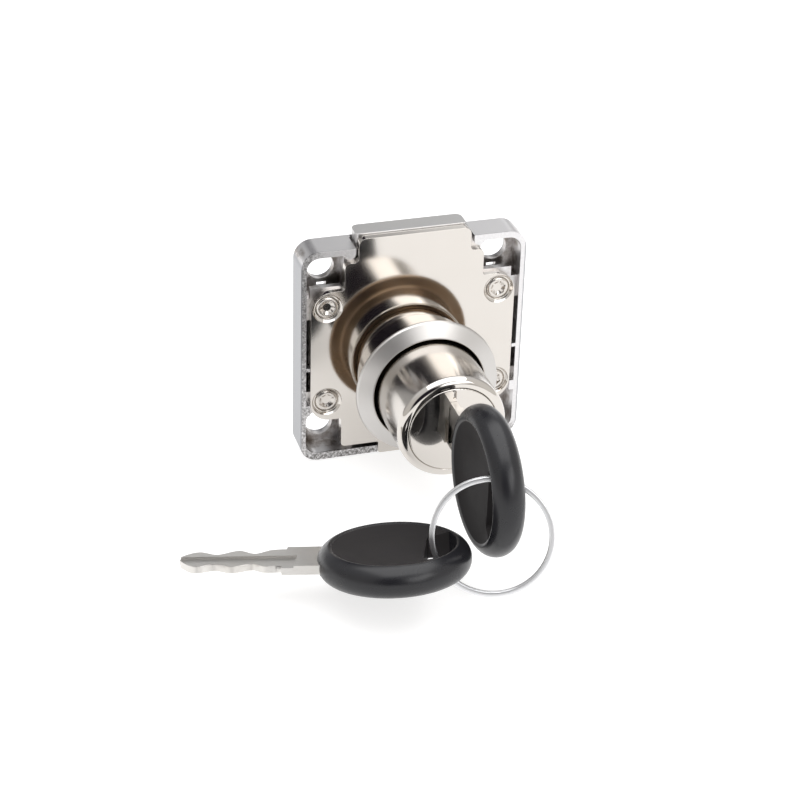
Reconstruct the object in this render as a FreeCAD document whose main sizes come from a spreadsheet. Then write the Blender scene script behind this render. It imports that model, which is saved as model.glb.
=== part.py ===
import FreeCAD, Part
import Sketcher
import math
import os
import re

# Square drawer lock: a die-cast case and plate with a keyed barrel, a bolt that a crank
# lifts, and two keys on a split ring. Millimetres. X is right, +Y goes into the drawer,
# +Z is up, and the origin is on the barrel's axis in the plane that meets the drawer front.

SIZES = {
    # case: an open tray
    "case_width": 40.0, "case_height": 40.7, "case_depth": 6.0, "case_rise": 2.85,
    "case_corner": 3.2, "case_edge": 0.6, "side_wall": 0.95, "top_wall": 1.1,
    "bottom_wall": 1.35, "floor_wall": 1.4,
    "mouth_width": 21.0, "mouth_bead": 0.95, "rail_outer": 12.2,
    "screw_span": 31.0, "screw_radius": 2.4,
    "boss_inset": 2.8, "boss_reach": 2.6, "pad_thickness": 1.1, "pad_top": 3.35,
    "core_width": 1.7, "core_height": 1.2, "core_rise": 2.3,
    "filler_top": 0.5, "filler_height": 1.9, "nib_height": 0.65, "nib_rise": 0.5,
    # plate and barrel: one casting
    "plate_gap": 0.8, "plate_thickness": 1.5, "ear_top": 3.05, "ear_bottom": 3.75,
    "ear_corner": 3.6, "neck_width": 24.7, "neck_top": 20.5, "neck_corner": 0.9,
    "tab_width": 19.9, "tab_top": 24.85, "tab_corner": 1.3,
    "apron_width": 25.3, "apron_bottom": 15.4, "apron_corner": 0.7,
    "foot_width": 11.6, "foot_proud": 0.25, "foot_gap": 0.1,
    "barrel_radius": 9.4, "barrel_length": 23.4, "lip_round": 1.3, "barrel_root": 0.4,
    # rivets
    "rivet_inset": 2.95, "rivet_top": 12.4, "rivet_low": 5.85, "rivet_shank": 1.2,
    "rivet_length": 3.6, "rivet_head": 2.25, "rivet_seat": 2.65, "rivet_sink": 0.75,
    "rivet_crown": 0.55, "rivet_top_slope": 0.055,
    # plug, wafers and crank
    "plug_radius": 6.4, "plug_face": 7.66, "plug_flange": 2.05, "plug_proud": 0.1,
    "plug_edge": 0.2, "running_gap": 0.06, "crank_clearance": 0.165,
    "key_rise": 0.8, "key_gap": 0.1, "keyway_end": 2.7,
    "wafer_count": 5.0, "wafer_setback": 3.4, "wafer_spacing": 3.0, "wafer_thickness": 1.0,
    "wafer_width": 8.4, "wafer_inset": 0.15, "wafer_gap": 0.05, "wafer_drop": 1.0,
    "window_low": 3.8, "window_top": 3.9, "window_width": 2.1,
    "lug_reach": 1.2, "lug_height": 1.4, "lug_room": 0.3, "spring_length": 1.6, "spring_radius": 0.45,
    "spring_bore": 0.25, "groove_slack": 0.2,
    "retainer_width": 5.8, "retainer_setback": 18.8, "retainer_low": 6.95,
    "retainer_height": 4.6, "retainer_groove": 7.3,
    "index_width": 0.55, "index_height": 1.4, "index_depth": 0.35,
    "crank_radius": 7.04, "crank_thickness": 2.35, "crank_pin": 1.2, "pin_reach": 3.4,
    "tongue_width": 6.0, "tongue_height": 2.0, "tongue_length": 1.2,
    # bolt
    "bolt_width": 19.6, "bolt_shift": 0.3, "bolt_play": 0.4, "bolt_thickness": 3.7,
    "bolt_top": 25.1, "bolt_foot": 9.5,
    "bolt_travel": 8.0, "bolt_gap": 0.1, "bolt_round": 1.2, "bolt_edge": 0.5,
    "slot_slack": 0.9,
    # trim ring that slides on the barrel
    "trim_offset": 1.93, "trim_length": 8.5, "trim_radius": 12.6, "collar_radius": 10.47,
    "mouth_radius": 9.95, "trim_edge": 0.35, "dome_height": 1.45, "flange_root": 0.5,
    "bearing_length": 2.6,
    # keys
    "shoulder_gap": 0.05, "blade_thickness": 1.5, "blade_length": 16.9, "blade_half": 3.4,
    "shank_half": 4.5, "shank_length": 5.2, "tang_length": 4.0,
    "mill_depth": 0.35, "mill_start": 0.4, "mill_runout": 2.0,
    "head_radius": 12.35, "head_thickness": 5.35, "head_rim": 1.9, "head_lip": 0.3,
    "head_web": 3.3, "head_wall": 0.25,
    "hole_inner": 4.9, "hole_outer": 10.2, "hole_half": 5.6,
    "collar_half": 4.9, "collar_thickness": 2.6, "collar_depth": 2.0, "collar_inset": 0.8,
    # split ring and the loose key
    "ring_radius": 9.43, "wire_radius": 0.275, "ring_pitch": 1.0, "ring_turns": 2.0,
    "ring_reach": 6.86, "ring_rise": 4.33, "ring_yaw": 20.33, "ring_lean": 16.56,
    "ring_roll": 7.5, "loose_reach": 7.21, "loose_rise": 2.22, "loose_along": 128.34,
    "loose_heading": 69.82, "loose_dip": -4.88, "loose_lean": 14.26,
}
# bitting: distance behind the shoulder and height of the cut, for the two edges of the blade
UPPER_CUTS = ((1.4, 3.38), (3.2, 3.25), (4.6, 2.3), (8.2, 3.4), (10.9, 2.25), (13.8, 3.2),
              (15.9, 1.6))
LOWER_CUTS = ((1.2, 3.36), (2.6, 3.05), (4.9, 1.5), (7.5, 3.0), (11.0, 1.3), (13.9, 2.6),
              (15.9, 1.5))

doc = FreeCAD.newDocument("drawer_lock")
sheet = doc.addObject("Spreadsheet::Sheet", "Sizes")
for row, (alias, number) in enumerate(SIZES.items(), start=1):
    sheet.set("A%d" % row, alias)
    sheet.set("B%d" % row, str(number))
    sheet.setAlias("B%d" % row, alias)
doc.recompute()


def size(alias):
    return float(sheet.get(alias))


def bind(feature, prop, formula):
    """Ties a property to a formula of the sheet's aliases."""
    def aliased(word):
        return "Sizes." + word.group() if word.group() in SIZES else word.group()

    feature.setExpression(prop, re.sub(r"[a-z_]+", aliased, formula))


def minus(formula):
    return "-(" + formula + ")"


def plane(body, role):
    return [feature for feature in body.Origin.OriginFeatures if feature.Role == role][0]


def polygon(body, name, role, corners):
    """A closed outline on one of the body's planes; each corner is a pair of formulas."""
    sketch = body.newObject("Sketcher::SketchObject", name)
    sketch.AttachmentSupport = (plane(body, role), [""])
    sketch.MapMode = "FlatFace"
    count = len(corners)
    turns = [2 * math.pi * n / count for n in range(count)]
    start = [FreeCAD.Vector(math.cos(turn), math.sin(turn), 0) for turn in turns]
    for n in range(count):
        sketch.addGeometry(Part.LineSegment(start[n], start[(n + 1) % count]), False)
    for n in range(count):
        sketch.addConstraint(Sketcher.Constraint("Coincident", n, 2, (n + 1) % count, 1))
    for n, corner in enumerate(corners):
        place = (start[n].x, start[n].y)
        for kind, value, formula in zip(("DistanceX", "DistanceY"), place, corner):
            index = sketch.addConstraint(Sketcher.Constraint(kind, -1, 1, n, 1, value))
            bind(sketch, "Constraints[%d]" % index, formula)
    return sketch


def straight_edges(shape, direction):
    """Names of the straight edges along a direction."""
    names = []
    for number, edge in enumerate(shape.Edges, start=1):
        if not isinstance(edge.Curve, Part.Line):
            continue
        if abs(edge.tangentAt(edge.FirstParameter).dot(direction)) > 0.999:
            names.append("Edge%d" % number)
    return names


def round_edges(body, base, names, radius):
    fillet = body.newObject("PartDesign::Fillet", body.Name + "_round_" + radius.split()[0])
    fillet.Base = (base, names)
    bind(fillet, "Radius", radius)
    doc.recompute()
    return fillet


def slab(name, x, y, z, corner=None):
    """A block padded along Y between three pairs of formulas, its upright corners rounded."""
    body = doc.addObject("PartDesign::Body", name)
    corners = [(x[0], z[0]), (x[1], z[0]), (x[1], z[1]), (x[0], z[1])]
    outline = polygon(body, name + "_outline", "XZ_Plane", corners)
    pad = body.newObject("PartDesign::Pad", name + "_pad")
    pad.Profile = outline
    pad.Reversed = True
    bind(pad, "Length", "(%s) - (%s)" % (y[1], y[0]))
    bind(body, "Placement.Base.y", y[0])
    doc.recompute()
    if corner:
        round_edges(body, pad, straight_edges(pad.Shape, FreeCAD.Vector(0, 1, 0)), corner)
    return body


def turned(name, outline, x="0", z="0"):
    """A turned piece: the outline gives radius and Y, about an axis along Y."""
    body = doc.addObject("PartDesign::Body", name)
    sketch = polygon(body, name + "_outline", "XY_Plane", outline)
    turn = body.newObject("PartDesign::Revolution", name + "_turn")
    turn.Profile = sketch
    turn.ReferenceAxis = (sketch, ["V_Axis"])
    turn.Angle = 360
    bind(body, "Placement.Base.x", x)
    bind(body, "Placement.Base.z", z)
    doc.recompute()
    return body


def round_rim(body, radius, at_front=True):
    """Rounds the outermost edge at the front or the back of a turned piece."""
    shape = body.Tip.Shape
    end = shape.BoundBox.YMin if at_front else shape.BoundBox.YMax
    rims = [n for n, edge in enumerate(shape.Edges, start=1)
            if isinstance(edge.Curve, Part.Circle) and abs(edge.CenterOfMass.y - end) < 0.001]
    widest = max(rims, key=lambda n: shape.Edges[n - 1].Curve.Radius)
    round_edges(body, body.Tip, ["Edge%d" % widest], radius)


def rod(name, radius, y, x="0", z="0"):
    """A cylinder along Y."""
    cylinder = doc.addObject("Part::Cylinder", name)
    cylinder.Placement.Rotation = FreeCAD.Rotation(FreeCAD.Vector(1, 0, 0), -90)
    bind(cylinder, "Radius", radius)
    bind(cylinder, "Height", "(%s) - (%s)" % (y[1], y[0]))
    bind(cylinder, "Placement.Base.x", x)
    bind(cylinder, "Placement.Base.y", y[0])
    bind(cylinder, "Placement.Base.z", z)
    return cylinder


def upright_tube(name, radius, bore, x, y, z):
    """A tube along Z, standing in for a small coil."""
    walls = []
    for part, part_radius in (("_outer", radius), ("_bore", bore)):
        cylinder = doc.addObject("Part::Cylinder", name + part)
        bind(cylinder, "Radius", part_radius)
        bind(cylinder, "Height", "(%s) - (%s)" % (z[1], z[0]))
        bind(cylinder, "Placement.Base.x", x)
        bind(cylinder, "Placement.Base.y", y)
        bind(cylinder, "Placement.Base.z", z[0])
        walls.append(cylinder)
    return cut(name, walls[0], [walls[1]])


def fuse(name, pieces):
    joined = doc.addObject("Part::MultiFuse", name)
    joined.Shapes = pieces
    joined.Refine = True
    return joined


def cut(name, base, tools):
    tool = tools[0] if len(tools) == 1 else fuse(name + "_tools", tools)
    result = doc.addObject("Part::Cut", name)
    result.Base = base
    result.Tool = tool
    result.Refine = True
    return result


def common(name, first, second):
    result = doc.addObject("Part::MultiCommon", name)
    result.Shapes = [first, second]
    return result


def both_sides(name, x, y, z, corner=None):
    """The same block right and left of the middle."""
    right = slab(name + "_right", x, y, z, corner)
    left = slab(name + "_left", (minus(x[1]), minus(x[0])), y, z, corner)
    return [right, left]


def centred(width):
    return ("-%s / 2" % width, "%s / 2" % width)


nodes = {}


def node(name, feature):
    feature.Label = name
    nodes[name] = feature
    return feature


CASE_TOP = "case_rise + case_height / 2"
CASE_BOTTOM = "case_rise - case_height / 2"
INSIDE_TOP = CASE_TOP + " - top_wall"
INSIDE_BOTTOM = CASE_BOTTOM + " + bottom_wall"
INSIDE_SIDE = "case_width / 2 - side_wall"
PLATE_SIDE = "(" + INSIDE_SIDE + " - plate_gap)"
RIVET_SIDE = "(" + PLATE_SIDE + " - rivet_inset)"
FLOOR = "case_depth - floor_wall"
BOLT_FRONT = "plate_thickness + bolt_gap"
BOLT_BACK = BOLT_FRONT + " + bolt_thickness"
RIVETS = [(x, z) for x in (RIVET_SIDE, minus(RIVET_SIDE)) for z in ("rivet_top", "-rivet_low")]
SCREWS = [(x, z) for x in ("screw_span / 2", "-screw_span / 2")
          for z in ("case_rise + screw_span / 2", "case_rise - screw_span / 2")]


def build_case():
    """The tray: walls, bolt channel, rails, rivet bosses and screw holes."""
    shell = slab("tray", centred("case_width"), ("0", "case_depth"), (CASE_BOTTOM, CASE_TOP),
                 "case_corner")
    back = [n for n, edge in enumerate(shell.Tip.Shape.Edges, start=1)
            if abs(edge.BoundBox.YMin - shell.Tip.Shape.BoundBox.YMax) < 0.001]
    round_edges(shell, shell.Tip, ["Edge%d" % n for n in back], "case_edge")
    pocket = slab("pocket", (minus(INSIDE_SIDE), INSIDE_SIDE), ("-case_depth", FLOOR),
                  (INSIDE_BOTTOM, INSIDE_TOP), "case_corner - side_wall")
    mouth = slab("mouth", centred("mouth_width"), ("-case_depth", FLOOR),
                 (INSIDE_TOP + " - top_wall", CASE_TOP + " + top_wall"))
    channel = slab("channel", ("-bolt_width / 2 - bolt_play", "bolt_width / 2 + bolt_play"),
                   ("0", BOLT_BACK + " + bolt_gap"),
                   ("-bolt_foot - bolt_gap", CASE_TOP + " + top_wall"))
    heel = slab("heel", ("-foot_width / 2 - foot_gap", "foot_width / 2 + foot_gap"),
                ("-case_depth", "plate_thickness"),
                (CASE_BOTTOM + " - bottom_wall", INSIDE_BOTTOM + " + bottom_wall"))
    tray = cut("open_tray", shell, [pocket, mouth, channel, heel])

    rails = both_sides("rail", ("bolt_width / 2 + bolt_play", "rail_outer"),
                       ("plate_thickness", FLOOR + " + bolt_gap"),
                       (INSIDE_BOTTOM + " - bolt_gap", INSIDE_TOP + " + bolt_gap"))
    beads = [rod("bead_%d" % n, "mouth_bead", ("0", FLOOR + " + bolt_gap"),
                 side + "(mouth_width / 2 + mouth_bead)", CASE_TOP + " - mouth_bead")
             for n, side in enumerate(("", "-"))]
    bosses = []
    for level, height in enumerate(("rivet_top", "-rivet_low")):
        bosses += both_sides("boss_%d" % level,
                             (RIVET_SIDE + " - boss_inset", INSIDE_SIDE + " + bolt_gap"),
                             ("plate_thickness", FLOOR + " + bolt_gap"),
                             (height + " - boss_reach", height + " + boss_reach - pad_thickness"))
    pads = both_sides("pad",
                      (RIVET_SIDE + " - boss_inset", RIVET_SIDE + " + boss_inset - bolt_gap"),
                      ("plate_thickness", "plate_thickness + pad_thickness"),
                      ("rivet_top", "rivet_top + pad_top"))
    fillers = both_sides("filler", (PLATE_SIDE + " + wafer_gap", INSIDE_SIDE + " + bolt_gap"),
                         ("0", FLOOR + " + bolt_gap"),
                         ("-rivet_low - filler_top - filler_height", "-rivet_low - filler_top"))
    nibs = both_sides("nib", (PLATE_SIDE + " + wafer_gap", INSIDE_SIDE + " + bolt_gap"),
                      ("0", "plate_thickness"), ("nib_rise", "nib_rise + nib_height"))
    solid = fuse("case_solid", [tray] + rails + beads + bosses + pads + fillers + nibs)

    screw_holes = [rod("screw_hole_%d" % n, "screw_radius", ("0", "2 * case_depth"), x, z)
                   for n, (x, z) in enumerate(SCREWS)]
    rivet_holes = [rod("rivet_hole_%d" % n, "rivet_shank", ("0", "rivet_length"), x, z)
                   for n, (x, z) in enumerate(RIVETS)]
    cores = both_sides("core",
                       (RIVET_SIDE + " - core_width / 2", RIVET_SIDE + " + core_width / 2"),
                       (FLOOR + " - bolt_gap", "2 * case_depth"),
                       ("rivet_top + core_rise - core_height / 2",
                        "rivet_top + core_rise + core_height / 2"))
    node("case", cut("case_piece", solid, screw_holes + rivet_holes + cores))


PLUG_FRONT = "-barrel_length - plug_proud"
RETAINER = "(-barrel_length + retainer_setback)"


def wafer_count():
    return int(size("wafer_count"))


def wafer_place(n):
    """The Y of a wafer, counted from the front of the barrel."""
    return "(-barrel_length + wafer_setback + %d * wafer_spacing)" % (n - 1)


def around(place, thickness):
    """Two formulas for the near and far side of a thickness about a place."""
    return ("%s - (%s) / 2" % (place, thickness), "%s + (%s) / 2" % (place, thickness))


def build_plate():
    """The plate with its ears, tab and foot, cast in one with the barrel."""
    thickness = ("0", "plate_thickness")
    ears = slab("ears", (minus(PLATE_SIDE), PLATE_SIDE), thickness,
                ("-rivet_low - ear_bottom", "rivet_top + ear_top"), "ear_corner")
    neck = slab("neck", centred("neck_width"), thickness, ("0", "neck_top"), "neck_corner")
    tab = slab("tab", centred("tab_width"), thickness, ("0", "tab_top"), "tab_corner")
    apron = slab("apron", centred("apron_width"), thickness, ("-apron_bottom", "0"),
                 "apron_corner")
    foot = slab("foot", centred("foot_width"), thickness, (CASE_BOTTOM + " - foot_proud", "0"))
    plate = fuse("plate", [ears, neck, tab, apron, foot])
    bore = rod("plate_bore", "barrel_radius - barrel_root",
               ("-plate_thickness", "2 * plate_thickness"))
    seats = [rod("seat_%d" % n, "rivet_seat", ("-plate_thickness", "rivet_sink"), x, z)
             for n, (x, z) in enumerate(RIVETS)]
    holes = [rod("plate_hole_%d" % n, "rivet_shank", ("0", "rivet_length"), x, z)
             for n, (x, z) in enumerate(RIVETS)]
    face = cut("plate_face", plate, [bore] + seats + holes)

    barrel = turned("barrel", [
        ("plug_face + running_gap", "-barrel_length"), ("barrel_radius", "-barrel_length"),
        ("barrel_radius", "plate_thickness"), ("crank_radius + running_gap", "plate_thickness"),
        ("crank_radius + running_gap", "plate_thickness - crank_thickness - running_gap"),
        ("plug_radius + running_gap", "plate_thickness - crank_thickness - running_gap"),
        ("plug_radius + running_gap", "-barrel_length + plug_flange"),
        ("plug_face + running_gap", "-barrel_length + plug_flange")])
    round_rim(barrel, "lip_round")
    deep = "plug_radius + wafer_drop + groove_slack"
    last = wafer_place(wafer_count())
    span = (wafer_place(1) + " - wafer_thickness", last + " + wafer_thickness")
    half = "wafer_width / 2 + groove_slack"
    grooves = [slab("groove_up", (minus(half), half), span, ("plug_radius / 2", deep)),
               slab("groove_down", (minus(half), half), span, (minus(deep), "-plug_radius / 2"))]
    ring_groove = rod("ring_groove", "retainer_groove",
                      (RETAINER + " - wafer_thickness", RETAINER + " + wafer_thickness"))
    tube = cut("tube", barrel, grooves + [ring_groove])
    node("barrel_plate", fuse("barrel_plate_piece", [face, tube]))


def build_rivets():
    """Four rivets with low staked heads, sunk in the plate."""
    rivets = []
    for n, (x, z) in enumerate(RIVETS):
        rivets.append(turned("rivet_%d" % n, [
            ("0", "rivet_sink - rivet_crown"),
            ("rivet_head / 2", "rivet_sink - rivet_crown + rivet_top_slope"),
            ("rivet_head", "rivet_sink - rivet_crown / 3"), ("rivet_head", "rivet_sink"),
            ("rivet_shank", "rivet_sink"), ("rivet_shank", "rivet_length"), ("0", "rivet_length")], x, z))
    group = doc.addObject("Part::Compound", "rivet_group")
    group.Links = rivets
    node("rivets", group)


def build_trim_ring():
    """The loose ring on the barrel: a sloping front flange on a collar that slides."""
    front = "-trim_offset - trim_length"
    flange_back = front + " + dome_height + trim_edge * 2"
    node("trim_ring", turned("trim", [
        ("mouth_radius", front), ("trim_radius - trim_edge", front + " + dome_height"),
        ("trim_radius", front + " + dome_height + trim_edge"), ("trim_radius - trim_edge", flange_back),
        ("collar_radius + flange_root", flange_back), ("collar_radius", flange_back + " + flange_root"),
        ("collar_radius", "-trim_offset"),
        ("barrel_radius + running_gap", "-trim_offset"),
        ("barrel_radius + running_gap", "-trim_offset - bearing_length"),
        ("mouth_radius", "-trim_offset - bearing_length - (mouth_radius - barrel_radius)")]))


def build_plug():
    """The plug with keyway, wafer slots, spring pockets and a driving tongue."""
    back = "plate_thickness - crank_thickness - crank_clearance"
    flange_back = "-barrel_length + plug_flange - running_gap"
    plug = turned("plug_blank", [
        ("0", PLUG_FRONT), ("plug_face", PLUG_FRONT), ("plug_face", flange_back),
        ("plug_radius", flange_back), ("plug_radius", back), ("0", back)])
    round_rim(plug, "plug_edge")
    tongue = slab("tongue", centred("tongue_width"),
                  (back + " - tongue_length", back + " + tongue_length"),
                  centred("tongue_height"))
    keyway = slab("keyway",
                  ("-blade_thickness / 2 - key_gap", "blade_thickness / 2 + key_gap"),
                  ("2 * (" + PLUG_FRONT + ")", "-keyway_end"),
                  ("key_rise - blade_half - key_gap", "key_rise + blade_half + key_gap"))
    tools = [keyway]
    slot_thickness = "wafer_thickness + 2 * wafer_gap"
    slot_half = "wafer_width / 2 + wafer_gap"
    pocket_low = "key_rise - lug_height - wafer_drop - wafer_gap - lug_room"
    for n in range(1, wafer_count() + 1):
        slot_span = around(wafer_place(n), slot_thickness)
        tools.append(slab("slot_%d" % n, (minus(slot_half), slot_half), slot_span,
                          ("-2 * plug_radius", "2 * plug_radius")))
        tools.append(slab("pocket_%d" % n, ("0", "wafer_width / 2 + lug_reach + wafer_gap"),
                          slot_span, (pocket_low, "key_rise + spring_length")))
    half = "retainer_width / 2 + wafer_gap"
    slot_span = around(RETAINER, slot_thickness)
    tools.append(slab("retainer_slot", (minus(half), half), slot_span,
                      ("-2 * plug_radius", "-retainer_low + retainer_height")))
    tools.append(slab("retainer_well", ("-spring_radius - key_gap", "spring_radius + key_gap"),
                      slot_span,
                      ("-plug_radius", "-retainer_low + retainer_height + spring_length")))
    tools.append(slab("index_mark", centred("index_width"),
                      (PLUG_FRONT + " - index_depth", PLUG_FRONT + " + index_depth"),
                      ("plug_face - index_height - plug_edge * 2", "plug_face - plug_edge * 2")))
    node("plug", cut("plug_piece", fuse("plug_solid", [plug, tongue]), tools))

    catch = slab("catch", centred("retainer_width"), around(RETAINER, "wafer_thickness"),
                 ("-retainer_low", "-retainer_low + retainer_height - wafer_gap"))
    catch_bound = rod("catch_bound", "retainer_low", around(RETAINER, "2 * wafer_thickness"))
    node("retaining_wafer", common("retaining_wafer_piece", catch, catch_bound))
    spring_span = ("-retainer_low + retainer_height - wafer_gap",
                   "-retainer_low + retainer_height + spring_length")
    node("retaining_spring", upright_tube("retaining_spring_piece", "spring_radius",
                                          "spring_bore", "0", RETAINER, spring_span))


def build_wafers():
    """Wafers with a window for the blade, each pushed down by its own spring."""
    for n in range(1, wafer_count() + 1):
        place = wafer_place(n)
        span = around(place, "wafer_thickness")
        through = around(place, "2 * wafer_thickness")
        blank = slab("wafer_blank_%d" % n, centred("wafer_width"), span,
                     ("-plug_radius", "plug_radius"))
        bound = rod("wafer_bound_%d" % n, "plug_radius - wafer_inset", through)
        leaf = common("wafer_leaf_%d" % n, blank, bound)
        lug = slab("wafer_lug_%d" % n, ("wafer_width / 4", "wafer_width / 2 + lug_reach"), span,
                   ("key_rise - lug_height", "key_rise"))
        window = slab("wafer_window_%d" % n, centred("window_width"), through,
                      ("key_rise - window_low", "key_rise + window_top"))
        whole = fuse("wafer_solid_%d" % n, [leaf, lug])
        node("wafer_%d" % n, cut("wafer_piece_%d" % n, whole, [window]))
        spring = upright_tube("wafer_spring_piece_%d" % n, "spring_radius", "spring_bore",
                              "wafer_width / 2 + lug_reach / 2", place,
                              ("key_rise", "key_rise + spring_length"))
        node("wafer_spring_%d" % n, spring)


def build_crank():
    """The crank disc behind the plug, with the pin that lifts the bolt."""
    front = "plate_thickness - crank_thickness"
    disc = rod("crank_disc", "crank_radius", (front, "plate_thickness - wafer_gap"))
    pin = rod("crank_pin_rod", "crank_pin",
              (front + " + crank_thickness / 2", "plate_thickness + pin_reach"),
              "0", "-bolt_travel / 2")
    half_width = "tongue_width / 2 + wafer_gap"
    half_height = "tongue_height / 2 + wafer_gap"
    slot = slab("crank_slot", (minus(half_width), half_width),
                (front + " - wafer_gap", front + " + tongue_length"),
                (minus(half_height), half_height))
    node("crank", cut("crank_piece", fuse("crank_solid", [disc, pin]), [slot]))


def build_bolt():
    """The flat bolt, with a cross slot for the crank pin; drawn back in the unlocked state."""
    body = slab("bolt_blank", ("-bolt_width / 2 - bolt_shift", "bolt_width / 2 - bolt_shift"),
                (BOLT_FRONT, BOLT_BACK), ("-bolt_foot", "bolt_top"))
    for at_front, radius in ((False, "bolt_round"), (True, "bolt_edge")):
        shape = body.Tip.Shape
        level = shape.BoundBox.YMin if at_front else shape.BoundBox.YMax
        chosen = [name for name in straight_edges(shape, FreeCAD.Vector(0, 0, 1))
                  if abs(shape.Edges[int(name[4:]) - 1].CenterOfMass.y - level) < 0.001]
        round_edges(body, body.Tip, chosen, radius)
    half = "bolt_travel / 2 + crank_pin + slot_slack / 3"
    slot = slab("bolt_slot", (minus(half), half), ("0", "2 * case_depth"),
                ("-bolt_travel / 2 - crank_pin - slot_slack",
                 "-bolt_travel / 2 + crank_pin + slot_slack"), "crank_pin")
    node("bolt", cut("bolt_piece", body, [slot]))


def feature(name, shape, placement):
    """A sub-part whose shape comes from curves, set in its place."""
    piece = doc.addObject("Part::Feature", name + "_piece")
    piece.Shape = shape
    piece.Placement = placement
    return node(name, piece)


def blade_shape():
    """A key blade along Y from its shoulder at the origin, flat across X."""
    half = size("blade_half")
    length = size("blade_length")
    tang_end = -size("shank_length") - size("tang_length")
    thick = size("blade_thickness")
    scale = half / SIZES["blade_half"]
    upper = [FreeCAD.Vector(0, y * length / SIZES["blade_length"], z * scale) for y, z in UPPER_CUTS]
    lower = [FreeCAD.Vector(0, y * length / SIZES["blade_length"], -z * scale) for y, z in LOWER_CUTS]
    tip = FreeCAD.Vector(0, length, 0)
    waves = []
    for start, cuts in ((half, upper), (-half, lower)):
        wave = Part.BSplineCurve()
        wave.interpolate([FreeCAD.Vector(0, 0, start)] + cuts + [tip])
        waves.append(wave.toShape())
    shank = size("shank_half")
    corners = [(0, half), (0, shank), (tang_end, shank), (tang_end, -shank), (0, -shank), (0, -half)]
    points = [FreeCAD.Vector(0, y, z) for y, z in corners]
    edges = waves + [Part.LineSegment(a, b).toShape() for a, b in zip(points, points[1:])]
    outline = Part.Wire(Part.__sortEdges__(edges))
    blade = Part.Face(outline).extrude(FreeCAD.Vector(thick, 0, 0))
    blade.translate(FreeCAD.Vector(-thick / 2, 0, 0))
    for side in (1, -1):
        mill = Part.makeBox(thick, length + 2 * size("mill_runout"), 2 * half)
        low = -size("mill_start") if side > 0 else size("mill_start") - 2 * half
        depth = thick / 2 - size("mill_depth") if side > 0 else -thick * 1.5 + size("mill_depth")
        mill.translate(FreeCAD.Vector(depth, -size("mill_runout"), low))
        blade = blade.cut(mill)
    return blade


def head_shape(blade):
    """The round plastic head: a web between bulging rims, with a slot for the ring."""
    radius = size("head_radius")
    half = size("head_thickness") / 2
    web = size("head_web") / 2
    ridge = radius - size("head_rim")
    recess = ridge - size("head_lip")
    centre = -size("shank_length") - radius
    corners = [(-web, 0), (-web, recess - size("head_wall")), (-half, recess), (-half, ridge)]
    points = [FreeCAD.Vector(x, 0, r) for x, r in corners]
    mirrored = [FreeCAD.Vector(-point.x, 0, point.z) for point in points[::-1]]
    edges = [Part.LineSegment(a, b).toShape() for a, b in zip(points, points[1:])]
    edges.append(Part.Arc(points[-1], FreeCAD.Vector(0, 0, radius), mirrored[0]).toShape())
    edges += [Part.LineSegment(a, b).toShape() for a, b in zip(mirrored, mirrored[1:])]
    edges.append(Part.LineSegment(mirrored[-1], points[0]).toShape())
    head = Part.Face(Part.Wire(edges)).revolve(FreeCAD.Vector(0, 0, 0), FreeCAD.Vector(1, 0, 0), 360)
    collar = Part.makeBox(size("collar_thickness"), size("collar_depth"), 2 * size("collar_half"))
    collar_end = radius - size("collar_inset")
    collar.translate(FreeCAD.Vector(-size("collar_thickness") / 2,
                                    collar_end - size("collar_depth"), -size("collar_half")))
    head = head.fuse(collar).removeSplitter()
    window = Part.makeBox(4 * half, size("hole_outer") - size("hole_inner"), 2 * size("hole_half"))
    window.translate(FreeCAD.Vector(-2 * half, -size("hole_outer"), -size("hole_half")))
    bound = Part.makeCylinder(size("hole_outer"), 4 * half, FreeCAD.Vector(-2 * half, 0, 0),
                              FreeCAD.Vector(1, 0, 0))
    head = head.cut(window.common(bound))
    head.translate(FreeCAD.Vector(0, centre, 0))
    return head.cut(blade)


def helix_point(turn):
    """A point of the ring's centre line and its direction there, after so many turns."""
    angle = 2 * math.pi * turn
    radius, pitch = size("ring_radius"), size("ring_pitch")
    point = FreeCAD.Vector(radius * math.cos(angle), radius * math.sin(angle), pitch * turn)
    along = FreeCAD.Vector(-math.sin(angle), math.cos(angle), pitch / (2 * math.pi * radius))
    return point, along.normalize()


def arc_from(start, along, end):
    """The arc that leaves a point in a direction and ends at another point."""
    chord = end - start
    outward = chord - along * chord.dot(along)
    radius = chord.dot(chord) / (2 * outward.Length)
    centre = start + outward.normalize() * radius
    middle = centre + ((start + end) * 0.5 - centre).normalize() * radius
    return Part.Arc(start, middle, end).toShape()


def biarc(start, start_along, end, end_along):
    """Two arcs that meet in line, from one point and direction to another."""
    chord = end - start
    total = start_along + end_along
    spread = 2 * (1 - start_along.dot(end_along))
    reach = (-chord.dot(total) + math.sqrt(chord.dot(total) ** 2 + spread * chord.dot(chord))) / spread
    joint = (start + end + (start_along - end_along) * reach) * 0.5
    joint_along = (end - end_along * reach - start - start_along * reach).normalize()
    return [arc_from(start, start_along, joint), arc_from(joint, joint_along, end)]


def ring_shape():
    """The split ring: two turns of round wire, side by side, about Z."""
    turns = size("ring_turns")
    wire = size("wire_radius")
    steps = int(math.ceil(4 * turns))
    marks = [turns * (n / steps - 0.5) for n in range(steps + 1)]
    arcs = []
    for first, second in zip(marks, marks[1:]):
        arcs += biarc(*helix_point(first), *helix_point(second))
    start, along = helix_point(marks[0])
    section = Part.Wire(Part.makeCircle(wire, start, along))
    path = Part.Wire(arcs)
    coil = path.makePipeShell([section], True, False)
    points = [helix_point(turns * (n / 400 - 0.5)) for n in range(401)]
    away = int(400 / (2 * turns))
    nearest = min((points[a][0] - points[b][0]).Length
                  for a in range(401) for b in range(a + away, 401))
    print("ring gap between turns", round(nearest - 2 * wire, 3), "volume over swept volume",
          round(coil.Volume / (math.pi * wire ** 2 * path.Length), 4))
    return coil


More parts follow.
